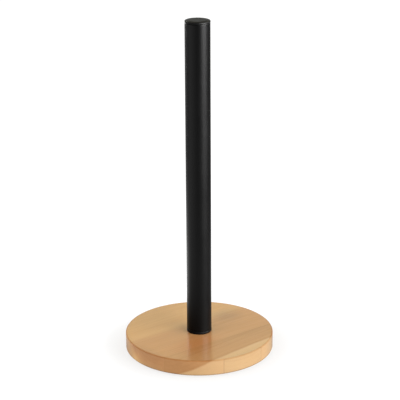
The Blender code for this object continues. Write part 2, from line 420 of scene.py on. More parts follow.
print("pocket cut, faces:", len(foot_plug.data.polygons))

# %% [markdown]
# ## Nut, washers and feet
# A nut is a hexagon whose corners are turned off at both ends, so a turned ring with a chamfer is
# intersected with a six-sided prism. The washers are eased rings, and the spring washer is split by a
# slanted saw cut. The feet are one turned pad, copied four times.

# %% Nut
THREAD_HOLE, NUT_CHAMFER = 2.75 * MM, 0.6 * MM
past_corner = nut_high.x + CLEARANCE
nut = turned("hex_nut", [
    (THREAD_HOLE, nut_high.z - 0.5 * MM), (bore, nut_high.z), (nut_high.y, nut_high.z),
    (past_corner, nut_high.z - NUT_CHAMFER), (past_corner, nut_low.z + NUT_CHAMFER),
    (nut_high.y, nut_low.z), (bore, nut_low.z), (THREAD_HOLE, nut_low.z + 0.5 * MM),
], 96, closed=True)
cut(nut, hexagon("nut_blank", 2 * nut_high.y, nut_low.z - BEYOND, nut_high.z + BEYOND), "INTERSECT")
close_up(nut)
print("hex nut faces after the cut:", len(nut.data.polygons))

# %% Washers
flat_washer = turned("plain_washer", eased_section([
    (bore, washer_high.z, 0.15 * MM), (washer_high.x, washer_high.z, 0.35 * MM),
    (washer_high.x, washer_low.z, 0.25 * MM), (bore, washer_low.z, 0.1 * MM),
], closed=True), 96, closed=True)
spring_low, spring_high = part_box("spring_washer")
spring_radius = -spring_low.x
split_washer = turned("split_washer", eased_section([
    (bore, spring_high.z, 0.12 * MM), (spring_radius, spring_high.z, 0.12 * MM),
    (spring_radius, spring_low.z, 0.12 * MM), (bore, spring_low.z, 0.12 * MM),
], closed=True), 96, closed=True)

# %% Split the spring washer
SPLIT_SIZE, SPLIT_SLANT = (12 * MM, 0.7 * MM, 8 * MM), math.radians(35)
bpy.ops.object.select_all(action="DESELECT")
bpy.ops.mesh.primitive_cube_add(size=1, location=(0, 0, 0))
saw = bpy.context.object
saw.name = "split_saw"
bpy.ops.transform.resize(value=SPLIT_SIZE)
bpy.ops.transform.rotate(value=-SPLIT_SLANT, orient_axis="X", center_override=(0, 0, 0))
bpy.ops.transform.translate(value=(SPLIT_SIZE[0] / 2, 0, (spring_low.z + spring_high.z) / 2))
bpy.ops.object.transform_apply(location=True, rotation=True, scale=True)
cut(split_washer, saw)
close_up(split_washer)
print("split washer faces:", len(split_washer.data.polygons))

# %% Feet
pad_low, pad_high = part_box("foot_pad_1")
pad_radius = (pad_high.x - pad_low.x) / 2
first_pad = turned("foot_pattern", eased_section([
    (0, pad_high.z, 0), (pad_radius, pad_high.z, 0.2 * MM),
    (pad_radius, pad_low.z, 0.5 * MM), (0, pad_low.z, 0),
]), 64)
feet = []
for number in (1, 2, 3, 4):
    low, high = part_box(f"foot_pad_{number}")
    foot = copy_of(first_pad, f"foot_{number}")
    bpy.ops.transform.translate(value=((low.x + high.x) / 2, (low.y + high.y) / 2, 0))
    bpy.ops.object.transform_apply(location=True)
    feet.append(foot)
bpy.data.objects.remove(first_pad)

# %% [markdown]
# ## The screw
# The screw goes up from below: a button head with a six-sided socket, and a threaded shank. One turn of
# the thread is drawn as a short section, and a Screw modifier winds it up the shank. Two cuts close the
# ends. The wound faces are slightly twisted, so they are split into triangles, which are flat, before a
# Boolean joins the shank to the turned head. The first turn starts a little off the cut, so that no edge
# of the thread lies right in it.

# %% Wind the thread
PITCH, THREAD_LEAD, THREAD_MERGE = 1.0 * MM, 2.03, 0.01 * MM
thread_crest, thread_root = 3.0 * MM, 2.45 * MM
thread_depth = thread_crest - thread_root
head_top = screw_low.z + 3.3 * MM
turns = round((screw_high.z - head_top) / PITCH)
shank = drawn("screw_shank", (thread_root, head_top - THREAD_LEAD * PITCH), [
    (outwards * thread_depth, upwards * PITCH)
    for outwards, upwards in ((0, 0.1), (1, 0.35), (0, 0.1), (-1, 0.35), (0, 0.1))
])
bpy.ops.object.mode_set(mode="OBJECT")
winding = shank.modifiers.new("thread", "SCREW")
winding.axis, winding.angle, winding.screw_offset = "Z", math.tau, PITCH
winding.steps = winding.render_steps = 36
winding.iterations = turns + 3
winding.use_merge_vertices, winding.merge_threshold = True, THREAD_MERGE
bpy.ops.object.modifier_apply(modifier=winding.name)
print("thread turns:", turns)

# %% Close its ends
bpy.ops.object.mode_set(mode="EDIT")
for level, clear in ((head_top - 0.5 * MM, "clear_inner"), (screw_high.z, "clear_outer")):
    bpy.ops.mesh.select_all(action="SELECT")
    bpy.ops.mesh.bisect(
        plane_co=(0, 0, level), plane_no=(0, 0, 1), threshold=FINE, use_fill=True, **{clear: True}
    )
bpy.ops.mesh.select_all(action="SELECT")
bpy.ops.mesh.quads_convert_to_tris()
bpy.ops.object.mode_set(mode="OBJECT")
close_up(shank, 40)
tip = turned("tip_die", [
    (0, screw_high.z + 1 * MM), (thread_root - 1.1 * MM, screw_high.z + 1 * MM),
    (thread_crest + CLEARANCE, screw_high.z - 1.3 * MM), (thread_crest + CLEARANCE, head_top - 1 * MM),
    (0, head_top - 1 * MM),
], 48)
cut(shank, tip, "INTERSECT")
print("shank faces:", len(shank.data.polygons))

# %% Turn the head, add the shank and sink the socket
SOCKET, SOCKET_DEPTH, HEAD_EDGE, DOME_HEIGHT = 4 * MM, 2.1 * MM, 0.8 * MM, 2.5 * MM
flat_radius = SOCKET / 2 * HEX + 0.3 * MM
dome = [
    (flat_radius + (screw_high.y - flat_radius) * math.cos(math.radians(angle)),
     head_top - HEAD_EDGE - DOME_HEIGHT * math.sin(math.radians(angle)))
    for angle in range(0, 91, 10)
]
head = turned("machine_screw", [
    (0, head_top), (screw_high.y - 0.1 * MM, head_top), (screw_high.y, head_top - 0.15 * MM),
    *dome, (0, screw_low.z),
], 72)
cut(head, shank, "UNION")
cut(head, hexagon("socket", SOCKET, screw_low.z - BEYOND, screw_low.z + SOCKET_DEPTH))
screw = close_up(head, 35)
print("screw faces:", len(screw.data.polygons))

# %% [markdown]
# ## Which piece stands for which CAD node
# All pieces ride on the one body of the holder. Each one names the CAD node that it replaces, and that
# node is hidden.

# %% Hand the pieces over
WOOD_SLOTS = ("wood_sapwood", "wood_amber", "wood_honey", "wood_straw")
for board, slot, node in zip(boards, WOOD_SLOTS, BOARD_NODES):
    hand_over(board, slot, node)
for film in glue_films:
    hand_over(film, None)
for piece, slot, node in (
    (tube, "powder_coat", "post_tube"), (cap, "plug_plastic", "top_cap"),
    (foot_plug, "plug_plastic", "bottom_insert"), (nut, "zinc_steel", "insert_nut"),
    (screw, "zinc_steel", "base_screw"), (flat_washer, "zinc_steel", "flat_washer"),
    (split_washer, "zinc_steel", "spring_washer"),
):
    hand_over(piece, slot, node)
for number, foot in enumerate(feet, 1):
    hand_over(foot, "pad_rubber", f"foot_pad_{number}")

# %% [markdown]
# ## Building finishes from nodes
# A finish is a small network of nodes. These helpers add a node, set it, and feed its sockets with a
# number or with another node's output, so that each finish below reads like a recipe. An effect that
# several finishes share is a node group, which is built once and placed in each of them.

# %% Node helpers
def place(tree, kind, feeds=None, **settings):
    """Adds a shader node with its settings, and feeds its sockets."""
    made = tree.nodes.new("ShaderNode" + kind)
    for name, value in settings.items():
        setattr(made, name, value)
    for socket, value in (feeds or {}).items():
        if isinstance(value, bpy.types.NodeSocket):
            tree.links.new(value, made.inputs[socket])
        else:
            made.inputs[socket].default_value = value
    return made


# %% Sums of values
def maths(tree, operation, *values):
    """A Math node: returns its output."""
    return place(tree, "Math", dict(enumerate(values)), operation=operation).outputs[0]


def vector_step(tree, operation, *vectors):
    """A Vector Math node: returns its outputs."""
    return place(tree, "VectorMath", dict(enumerate(vectors)), operation=operation).outputs


def product(tree, first, second):
    """One value times another."""
    return maths(tree, "MULTIPLY", first, second)


def total(tree, first, second):
    """One value plus another."""
    return maths(tree, "ADD", first, second)


def less(tree, first, second):
    """One value minus another."""
    return maths(tree, "SUBTRACT", first, second)


# %% Fades and colours
def step_up(tree, value, low, high, to_low=0.0, to_high=1.0):
    """Rises smoothly from to_low to to_high as a value goes from low to high."""
    feeds = {"Value": value, "From Min": low, "From Max": high, "To Min": to_low, "To Max": to_high}
    return place(tree, "MapRange", feeds, interpolation_type="SMOOTHSTEP").outputs["Result"]


def blend_colours(tree, amount, first, second, kind="MIX"):
    """A Mix node for colours: returns its output."""
    return place(tree, "Mix", {0: amount, 6: first, 7: second}, data_type="RGBA", blend_type=kind).outputs[2]


def tinted(tree, amount, colour, tint):
    """Multiplies a colour by a tint, by an amount from 0 to 1."""
    return blend_colours(tree, amount, colour, (*tint, 1), "MULTIPLY")


# %% Pattern helpers
def scaled(tree, vector, scale, shift=(0, 0, 0)):
    """Stretches a pattern: a Mapping node on a vector."""
    return place(tree, "Mapping", {"Vector": vector, "Scale": scale, "Location": shift}).outputs[0]


def noise(tree, vector, detail, roughness=0.5):
    """Smooth noise of size one: returns its value."""
    feeds = {"Vector": vector, "Scale": 1.0, "Detail": detail, "Roughness": roughness}
    return place(tree, "TexNoise", feeds).outputs[0]


def new_group(name, inputs, outputs):
    """A shader node group with its sockets: returns the tree, its input node and its output node."""
    tree = bpy.data.node_groups.new(name, "ShaderNodeTree")
    for label, kind, value in inputs:
        socket = tree.interface.new_socket(label, in_out="INPUT", socket_type="NodeSocket" + kind)
        if value is not None:
            socket.default_value = value
    for label, kind in outputs:
        tree.interface.new_socket(label, in_out="OUTPUT", socket_type="NodeSocket" + kind)
    return tree, tree.nodes.new("NodeGroupInput").outputs, tree.nodes.new("NodeGroupOutput").inputs


def feed_group(tree, group, feeds):
    """Places a group and feeds its inputs: returns its outputs."""
    return place(tree, "Group", feeds, node_tree=group).outputs


# %% [markdown]
# ## Growth rings and heartwood
# Wood is a solid stuff, so its figure has to agree on the top, the rim and the underside. The pattern is
# therefore worked out in space: the distance from the tree's pith gives the growth rings, and beyond a
# certain distance the dark heartwood turns to pale sapwood. Each board gives its own pith.

# %% Group: growth rings
SWAY_STRETCH, RIPPLE_STRETCH, RIPPLE_DEPTH = (9, 16, 16), (45, 190, 190), 1.1 * MM
RING_PEAK, RING_END = (0.35, 0.93), (0.93, 1.0)
rings, ring_in, ring_out = new_group("growth_rings", [
    ("Vector", "Vector", None), ("Pith Across", "Float", 0.0), ("Pith Up", "Float", 0.05),
    ("Ring Width", "Float", 0.004), ("Wander", "Float", 0.006), ("Sap Radius", "Float", 1.0),
    ("Sap Blend", "Float", 0.001),
], [("Late Wood", "Float"), ("Sapwood", "Float")])
spot = place(rings, "SeparateXYZ", {0: ring_in["Vector"]}).outputs
side = maths(rings, "POWER", less(rings, spot["Y"], ring_in["Pith Across"]), 2.0)
rise = maths(rings, "POWER", less(rings, spot["Z"], ring_in["Pith Up"]), 2.0)
straight = maths(rings, "SQRT", total(rings, side, rise))
sway = less(rings, noise(rings, scaled(rings, ring_in["Vector"], SWAY_STRETCH), 1.0), 0.5)
ripple = less(rings, noise(rings, scaled(rings, ring_in["Vector"], RIPPLE_STRETCH), 2.0), 0.5)
radius = total(rings, straight, product(rings, sway, ring_in["Wander"]))
radius = total(rings, radius, product(rings, ripple, RIPPLE_DEPTH))
growth = maths(rings, "FRACT", maths(rings, "DIVIDE", radius, ring_in["Ring Width"]))
late = product(rings, step_up(rings, growth, *RING_PEAK), step_up(rings, growth, *RING_END, 1.0, 0.0))
rings.links.new(late, ring_out["Late Wood"])
sap_low = less(rings, ring_in["Sap Radius"], ring_in["Sap Blend"])
sap_high = total(rings, ring_in["Sap Radius"], ring_in["Sap Blend"])
rings.links.new(step_up(rings, radius, sap_low, sap_high), ring_out["Sapwood"])
print("growth_rings has", len(rings.nodes), "nodes")

# %% [markdown]
# ## Fibres and pores
# Along the grain, wood shows streaks of several widths: broad bands of colour, fine fibres and short dark
# pores. Each is a noise that is squeezed across the grain and left long in its direction.

# %% Group: fibres and pores
BAND_STRETCH, STREAK_STRETCH = (7, 85, 85), (16, 420, 420)
FIBRE_STRETCH, PORE_STRETCH = (90, 3200, 3200), (260, 3600, 3600)
PORE_RARE, PORE_COMMON, PORE_BLUR = 0.86, 0.2, 0.07
fibres, fibre_in, fibre_out = new_group(
    "fibres_and_pores", [("Vector", "Vector", None), ("Pore Amount", "Float", 0.5)],
    [("Band", "Float"), ("Streak", "Float"), ("Fibre", "Float"), ("Pore", "Float")],
)
band = noise(fibres, scaled(fibres, fibre_in["Vector"], BAND_STRETCH), 2.0)
streak = noise(fibres, scaled(fibres, fibre_in["Vector"], STREAK_STRETCH, (3, 1, 7)), 3.0, 0.6)
fibre = noise(fibres, scaled(fibres, fibre_in["Vector"], FIBRE_STRETCH, (5, 9, 2)), 2.0, 0.6)
dash = noise(fibres, scaled(fibres, fibre_in["Vector"], PORE_STRETCH, (8, 4, 6)), 0.0)
limit = less(fibres, PORE_RARE, product(fibres, fibre_in["Pore Amount"], PORE_COMMON))
fibres.links.new(step_up(fibres, band, 0.3, 0.7), fibre_out["Band"])
fibres.links.new(step_up(fibres, streak, 0.25, 0.75), fibre_out["Streak"])
fibres.links.new(step_up(fibres, fibre, 0.2, 0.8), fibre_out["Fibre"])
fibres.links.new(step_up(fibres, dash, limit, total(fibres, limit, PORE_BLUR)), fibre_out["Pore"])
print("fibres_and_pores has", len(fibres.nodes), "nodes")

# %% [markdown]
# ## Clouds in the wood
# Real boards carry soft stains and pale flames that no ring pattern gives. A cloud is an ellipsoid in the
# board with a ragged, soft edge. A board lists its clouds with their place, size and tint. Some clouds are
# not stains but painted light and shade: a painted reflection of the dark post in front of it, painted light
# in its shadow behind it, painted floor light on the lower rim, and painted shade along the top edge.

# %% Group: cloud
RAG_STRETCH, RAG_DEPTH = (30, 160, 160), 0.7
cloud, cloud_in, cloud_out = new_group("wood_cloud", [
    ("Vector", "Vector", None), ("Centre", "Vector", None), ("Size", "Vector", (1, 1, 1)),
    ("Softness", "Float", 0.5),
], [("Mask", "Float")])
away = vector_step(cloud, "SUBTRACT", cloud_in["Vector"], cloud_in["Centre"])[0]
reach = vector_step(cloud, "LENGTH", vector_step(cloud, "DIVIDE", away, cloud_in["Size"])[0])["Value"]
rag = less(cloud, noise(cloud, scaled(cloud, cloud_in["Vector"], RAG_STRETCH), 3.0), 0.5)
reach = total(cloud, reach, product(cloud, rag, RAG_DEPTH))
inner = less(cloud, 1.0, cloud_in["Softness"])
outer = total(cloud, 1.0, cloud_in["Softness"])
cloud.links.new(step_up(cloud, reach, inner, outer, 1.0, 0.0), cloud_out["Mask"])
print("wood_cloud has", len(cloud.nodes), "nodes")

# %% [markdown]
# ## Sanded and shaded edges, and end grain
# Both rims of the disc are sanded round, and there the lacquer is mostly gone. A group marks the points that
# are near the outline and near the top or the foot. With them the wood is made darker along the top edge,
# and painted shade darkens it along the foot, where the disc meets the floor. Another group marks end
# grain, where the surface faces along the fibres.

# %% Groups: sanded and shaded edges, end grain
EDGE_START, EDGE_FULL = 1.5 * MM, 0.95 * MM
edges, edge_in, edge_out = new_group(
    "sanded_and_shaded_edges", [("Vector", "Vector", None)], [("Upper", "Float"), ("Lower", "Float")]
)
sideways = vector_step(edges, "MULTIPLY", edge_in["Vector"], (1, 1, 0))[0]
reach = vector_step(edges, "LENGTH", sideways)["Value"]
height = place(edges, "SeparateXYZ", {0: edge_in["Vector"]}).outputs["Z"]
near_rim = step_up(edges, reach, base_radius - EDGE_START, base_radius - EDGE_FULL)
near_top = step_up(edges, height, base_top - EDGE_START, base_top - EDGE_FULL)
near_foot = step_up(edges, height, base_bottom + EDGE_FULL, base_bottom + EDGE_START, 1.0, 0.0)
edges.links.new(product(edges, near_rim, near_top), edge_out["Upper"])
edges.links.new(product(edges, near_rim, near_foot), edge_out["Lower"])
ends, end_in, end_out = new_group("end_grain", [("Normal", "Vector", None)], [("Mask", "Float")])
facing = {"Vector": end_in["Normal"], "Angle": -GRAIN_TURN}
facing = place(ends, "VectorRotate", facing, rotation_type="Z_AXIS").outputs[0]
along = maths(ends, "ABSOLUTE", place(ends, "SeparateXYZ", {0: facing}).outputs["X"])
ends.links.new(maths(ends, "POWER", along, 2.0), end_out["Mask"])
print("sanded_and_shaded_edges has", len(edges.nodes), "nodes, end_grain has", len(ends.nodes))

# %% [markdown]
# ## Lacquered wood
# Each board's material turns the piece's own coordinates to the grain, asks the groups for its figure and
# mixes its colours. Under a thin clear lacquer the wood is fairly rough, and the lacquer is the Principled
# shader's coat: it reflects the bright room at a flat angle, and is worn thin on the sanded edges. End
# grain drinks the finish and turns darker.

# %% How deep each mark goes, and its tint
RING_WIDTH, BAND_SHARE, STREAK_SHARE = 4.2 * MM, 0.6, 0.4
LATE_DEPTH, LATE_TINT = 0.20, (0.86, 0.80, 0.72)
SAP_DEPTH, SAP_TINT = 0.35, (0.92, 0.88, 0.83)
FIBRE_DEPTH, FIBRE_TINT = 0.30, (0.86, 0.80, 0.74)
PORE_DEPTH, PORE_TINT = 0.40, (0.45, 0.35, 0.26)
END_DEPTH, END_TINT = 0.5, (0.88, 0.86, 0.84)
# The edge tint makes the top edge darker, and the foot tint is painted shade along the foot of the rim.
EDGE_DEPTH, EDGE_TINT, FOOT_SHADE_TINT = 0.7, (0.74, 0.66, 0.58), (0.50, 0.52, 0.54)


# %% Figure of a board
def board_figure(tree, board, pith, sap, colours, skew, seed, wander):
    """Colours from bands, rings and sapwood: returns the colour and the fibre group's outputs."""
    figure = place(tree, "Mapping", {"Vector": board, "Rotation": (0, 0, -math.radians(skew))}).outputs[0]
    year = feed_group(tree, rings, {
        "Vector": figure, "Pith Across": pith[0] * MM, "Pith Up": pith[1] * MM, "Ring Width": RING_WIDTH,
        "Wander": wander * MM, "Sap Radius": sap[0] * MM, "Sap Blend": sap[1] * MM,
    })
    seeded = vector_step(tree, "ADD", figure, [value * MM for value in seed])[0]
    grain = feed_group(tree, fibres, {"Vector": seeded})
    light, dark, pale = ((*colour, 1) for colour in colours)
    tone = product(tree, grain["Band"], BAND_SHARE)
    tone = total(tree, tone, product(tree, grain["Streak"], STREAK_SHARE))
    heart = blend_colours(tree, tone, light, dark)
    heart = tinted(tree, product(tree, year["Late Wood"], LATE_DEPTH), heart, LATE_TINT)
    sapwood = tinted(tree, product(tree, tone, SAP_DEPTH), pale, SAP_TINT)
    return blend_colours(tree, year["Sapwood"], heart, sapwood), grain


# %% Wood material
WOOD_ROUGHNESS, STREAK_ROUGHNESS, WOOD_SPECULAR = 0.46, 0.10, 0.25
FIBRE_HEIGHT, BUMP_STRENGTH, BUMP_DEPTH = 0.3, 0.25, 0.02 * MM
COAT_ROUGHNESS, COAT_IOR, COAT_WORN = 0.19, 1.5, 0.9


def lacquered_wood(name, pith, sap, colours, clouds=(), skew=0.0, seed=(0, 0, 0), wander=5.0):
    """A board's finish. Lengths are in mm, in the board's own directions: along, across, up."""
    material = bpy.data.materials.new(name)
    material.use_nodes = True
    tree = material.node_tree
    shader = tree.nodes["Principled BSDF"]
    own = place(tree, "TexCoord").outputs
    board = place(tree, "Mapping", {"Vector": own["Object"], "Rotation": (0, 0, -GRAIN_TURN)}).outputs[0]
    colour, grain = board_figure(tree, board, pith, sap, colours, skew, seed, wander)
    for centre, size, softness, tint in clouds:
        patch = feed_group(tree, cloud, {
            "Vector": board, "Centre": [value * MM for value in centre],
            "Size": [value * MM for value in size], "Softness": softness,
        })
        colour = tinted(tree, patch["Mask"], colour, tint)
    sanded = feed_group(tree, edges, {"Vector": own["Object"]})
    end_grain = feed_group(tree, ends, {"Normal": own["Normal"]})["Mask"]
    # The last masks make the top edge darker and paint shade along the foot of the rim.
    for mask, depth, tint in (
        (grain["Fibre"], FIBRE_DEPTH, FIBRE_TINT), (grain["Pore"], PORE_DEPTH, PORE_TINT),
        (sanded["Upper"], EDGE_DEPTH, EDGE_TINT), (sanded["Lower"], EDGE_DEPTH, FOOT_SHADE_TINT),
        (end_grain, END_DEPTH, END_TINT),
    ):
        colour = tinted(tree, product(tree, mask, depth), colour, tint)
    worn = product(tree, total(tree, sanded["Upper"], sanded["Lower"]), COAT_WORN)
    height = less(tree, product(tree, grain["Fibre"], FIBRE_HEIGHT), grain["Pore"])
    bump = place(tree, "Bump", {"Height": height, "Strength": BUMP_STRENGTH, "Distance": BUMP_DEPTH})
    rough = total(tree, WOOD_ROUGHNESS, product(tree, grain["Streak"], STREAK_ROUGHNESS))
    for socket, value in (
        ("Base Color", colour), ("Roughness", rough), ("Normal", bump.outputs[0]),
        ("Coat Weight", less(tree, 1.0, worn)),
    ):
        tree.links.new(value, shader.inputs[socket])
    shader.inputs["Specular IOR Level"].default_value = WOOD_SPECULAR
    shader.inputs["Coat Roughness"].default_value = COAT_ROUGHNESS
    shader.inputs["Coat IOR"].default_value = COAT_IOR
    return material


# %% Finish the boards
SAP = ((0.60, 0.380, 0.182), (0.56, 0.350, 0.166), (0.60, 0.380, 0.182))
AMBER = ((0.49, 0.243, 0.089), (0.44, 0.213, 0.075), (0.600, 0.368, 0.172))
HONEY = ((0.53, 0.258, 0.094), (0.48, 0.230, 0.083), (0.590, 0.320, 0.120))
STRAW = ((0.61, 0.328, 0.118), (0.56, 0.294, 0.103), (0.60, 0.35, 0.14))
# A painted pool of light that lifts the post's shadow on the top, left of and behind the post.
PAINTED_LIGHT_IN_POST_SHADOW = ((-10, 31, 18), (18, 11, 12), 1.0, (1.10, 1.07, 1.04))
finishes = [
    lacquered_wood("sapwood_board", (-110, 60), (300, 1), SAP, seed=(11, 3, 5)),
    lacquered_wood("amber_board", (-15.2, 66), (67.9, 1), AMBER, skew=5.5, seed=(57, 23, 9), wander=1.5, clouds=[
        ((28, -36, 18), (36, 6, 14), 1.0, (0.92, 0.91, 0.87)),
        # Painted reflection of the dark post in the lacquer in front of it.
        ((-26, -30, 18), (22, 14, 12), 0.9, (0.94, 0.83, 0.75)),
    ]),
    lacquered_wood("honey_board", (-29.5, 59), (62, 4.0), HONEY, seed=(131, 7, 3), wander=6.0, clouds=[
        # Painted reflection of the dark post in the lacquer in front of it.
        ((-24, -26, 18), (22, 14, 12), 0.9, (0.94, 0.82, 0.74)),
        ((44, 14, 18), (13, 12, 14), 0.9, (0.80, 0.83, 0.92)),
        # Painted floor light on the lower part of the rim at the front left.
        ((-76, 4, 5), (12, 9, 7), 0.8, (1.20, 1.26, 1.26)),
        ((-72, -14, 1), (14, 22, 6), 0.8, (1.03, 1.13, 1.24)),
        # Painted shade along the top edge at the front left.
        ((-74, -16, 17), (8, 20, 6), 0.8, (0.90, 0.90, 0.92)),
        PAINTED_LIGHT_IN_POST_SHADOW,
    ]),
    lacquered_wood("straw_board", (120, 70), (300, 1), STRAW, seed=(23, 67, 31), clouds=[PAINTED_LIGHT_IN_POST_SHADOW]),
]
for board, finish in zip(boards, finishes):
    board.data.materials.clear()
    board.data.materials.append(finish)
print("boards finished:", [finish.name for finish in finishes])

# %% [markdown]
# ## Fine pebble
# Powder coat, moulded plastic and foam all have a surface of small rounded bumps, at different sizes. One
# group gives them: it mixes two sizes of noise into a height, and gives a slow drift for the gloss.

# %% Group: fine pebble
WIDE_SHARE, DRIFT_STRETCH = 0.28, (60, 60, 25)
pebble, pebble_in, pebble_out = new_group(
    "fine_pebble", [("Vector", "Vector", None), ("Grain", "Float", 2500.0)],
    [("Height", "Float"), ("Drift", "Float")],
)
grown = {0: pebble_in["Vector"], "Scale": pebble_in["Grain"]}
grown = place(pebble, "VectorMath", grown, operation="SCALE").outputs[0]
small = noise(pebble, grown, 1.0)
wide = noise(pebble, scaled(pebble, grown, (WIDE_SHARE, WIDE_SHARE, WIDE_SHARE), (4, 4, 4)), 1.0)
pebble.links.new(total(pebble, small, wide), pebble_out["Height"])
drift = noise(pebble, scaled(pebble, pebble_in["Vector"], DRIFT_STRETCH), 3.0)
pebble.links.new(drift, pebble_out["Drift"])
print("fine_pebble has", len(pebble.nodes), "nodes")


# %% Plain finishes that share it
def pebbled(name, base, deep, roughness, grain, depth, strength, specular=0.5, metallic=0.0):
    """A finish with small bumps: its colour runs from deep in the dips to base on the bumps."""
    material = bpy.data.materials.new(name)
    material.use_nodes = True
    tree = material.node_tree
    shader = tree.nodes["Principled BSDF"]
    skin = feed_group(tree, pebble, {"Vector": place(tree, "TexCoord").outputs["Object"], "Grain": grain})
    raised = step_up(tree, skin["Height"], 0.7, 1.3)
    tree.links.new(blend_colours(tree, raised, (*deep, 1), (*base, 1)), shader.inputs["Base Color"])
    tree.links.new(step_up(tree, skin["Drift"], 0.3, 0.7, *roughness), shader.inputs["Roughness"])
    bump = place(tree, "Bump", {"Height": skin["Height"], "Strength": strength, "Distance": depth})
    tree.links.new(bump.outputs[0], shader.inputs["Normal"])
    shader.inputs["Specular IOR Level"].default_value = specular
    shader.inputs["Metallic"].default_value = metallic
    return material


# %% [markdown]
# ## Black, bright and soft finishes
# The tube is powder coated: almost black, with an even satin gloss and a very fine peel. The plugs are
# moulded in black plastic that is a little greyer and rougher. The fasteners are bright zinc on steel,
# and the feet are matt black foam rubber. The glue has dried clear in two of the joints and to a dull
# brown in the front one.

# %% Finish the other pieces
SHEEN = 0.07
powder = pebbled(
    "satin_powder_coat", (0.0018, 0.0018, 0.0019), (0.0013, 0.0013, 0.0013),
    roughness=(0.33, 0.37), grain=2600.0, depth=0.01 * MM, strength=0.35, specular=SHEEN,
)
plastic = pebbled(
    "moulded_black_plastic", (0.0030, 0.0031, 0.0033), (0.002, 0.002, 0.002),
    roughness=(0.44, 0.50), grain=3800.0, depth=0.01 * MM, strength=0.4, specular=SHEEN,
)
zinc = pebbled(
    "bright_zinc", (0.62, 0.63, 0.65), (0.50, 0.51, 0.53),
    roughness=(0.24, 0.36), grain=1500.0, depth=0.004 * MM, strength=0.3, metallic=1.0,
)
foam = pebbled(
    "black_foam_rubber", (0.030, 0.030, 0.032), (0.012, 0.012, 0.013),
    roughness=(0.80, 0.92), grain=1800.0, depth=0.05 * MM, strength=0.6, specular=0.3,
)
dull_glue, clear_glue = [
    pebbled(name, base, deep, roughness=(0.40, 0.50), grain=1200.0, depth=0.01 * MM, strength=0.2)
    for name, base, deep in (
        ("dull_glue", (0.36, 0.185, 0.078), (0.28, 0.14, 0.058)),
        ("clear_glue", (0.50, 0.25, 0.092), (0.45, 0.22, 0.080)),
    )
]
for finish, pieces in (
    (powder, [tube]), (plastic, [cap, foot_plug]), (zinc, [nut, screw, flat_washer, split_washer]),
    (foam, feet), (dull_glue, glue_films[:1]), (clear_glue, glue_films[1:]),
):
    for piece in pieces:
        piece.data.materials.clear()
        piece.data.materials.append(finish)
print("finishes:", [finish.name for finish in (powder, plastic, zinc, foam, dull_glue, clear_glue)])

# %% [markdown]
# ## Floor and room
# The holder stands on a plain white sweep. To the camera the floor is almost pure white with a faint
# shadow. Glossy pieces mirror the floor, and there the cards and flags of a studio make it uneven: bright
# on the left, dim in front and on the right, and dark close to the base. The Light Path node gives each
# kind of ray its own answer. Seen from below the floor is clear, so that the underside can be looked at.

# %% Shader helpers
def glow(tree, level):
    """Light given off at a level, a number or a socket."""
    return place(tree, "Emission", {"Color": (1, 1, 1, 1), "Strength": level}).outputs[0]


def either(tree, test, no, yes):
    """Picks one of two shaders."""
    return place(tree, "MixShader", {0: test, 1: no, 2: yes}).outputs[0]


# %% Floor as the camera sees it
# A fade lists where it starts and ends, and its level there.
FLOOR_GAP, FLOOR_SHADE, SHADOW_FADE = 0.05 * MM, 0.20, (0.070, 0.14, 0.755, 0.98)
bpy.ops.object.select_all(action="DESELECT")
bpy.ops.mesh.primitive_plane_add(size=30, location=(0, 0, cad_box[0].z - FLOOR_GAP))
floor = bpy.context.object
floor.name = "floor"
sweep = bpy.data.materials.new("white_sweep")
sweep.use_nodes = True
tree = sweep.node_tree
tree.nodes.clear()
own = place(tree, "TexCoord").outputs["Object"]
away = vector_step(tree, "LENGTH", own)["Value"]
lit = place(tree, "BsdfDiffuse", {"Color": (FLOOR_SHADE, FLOOR_SHADE, FLOOR_SHADE, 1)}).outputs[0]
seen = place(tree, "AddShader", {0: glow(tree, step_up(tree, away, *SHADOW_FADE)), 1: lit}).outputs[0]
print("floor at", round(floor.location.z / MM, 3), "mm")

# %% Floor as black pieces mirror it
LEFT_FADE, RIGHT_FADE, BACK_FADE = (-0.95, 0.05, 1.0, 0.0), (0.2, 0.9, 1.0, 0.35), (0.75, 1.25)
FRONT_LEVEL, LEFT_LEVEL, BACK_LEVEL = (0.15, 0.5, 1.5, 0.45), (0.3, 0.8, 2.3, 2.8), (0.2, 0.6, 2.4, 0.0)
CONTACT_REACH, CONTACT_LEVEL, BACK_FLAG = (0.112, 0.155), (-0.3, 0.8, 0.145, 0.65), 0.75
towards = place(tree, "SeparateXYZ", {0: vector_step(tree, "NORMALIZE", own)[0]}).outputs
left = step_up(tree, towards["X"], *LEFT_FADE)
right = step_up(tree, towards["X"], *RIGHT_FADE)
back_left = step_up(tree, less(tree, towards["Y"], towards["X"]), *BACK_FADE)
front_level = product(tree, less(tree, 1.0, left), step_up(tree, away, *FRONT_LEVEL))
front_level = product(tree, front_level, right)
left_level = product(tree, left, step_up(tree, away, *LEFT_LEVEL))
left_level = product(tree, left_level, less(tree, 1.0, product(tree, back_left, BACK_FLAG)))
back_level = product(tree, back_left, step_up(tree, away, *BACK_LEVEL))
level = total(tree, front_level, total(tree, left_level, back_level))
contact = step_up(tree, towards["X"], *CONTACT_LEVEL)
mirrored = glow(tree, product(tree, level, step_up(tree, away, *CONTACT_REACH, contact, 1.0)))
print("nodes of the floor so far:", len(tree.nodes))

# %% One answer for each kind of ray
FLOOR_BOUNCE = 0.80
ray = place(tree, "LightPath").outputs
shader = either(tree, ray["Is Glossy Ray"], glow(tree, FLOOR_BOUNCE), mirrored)
shader = either(tree, ray["Is Camera Ray"], shader, seen)
below = place(tree, "NewGeometry").outputs["Backfacing"]
shader = either(tree, below, shader, place(tree, "BsdfTransparent").outputs[0])
place(tree, "OutputMaterial", {"Surface": shader})
floor.data.materials.append(sweep)
print("white_sweep has", len(tree.nodes), "nodes")

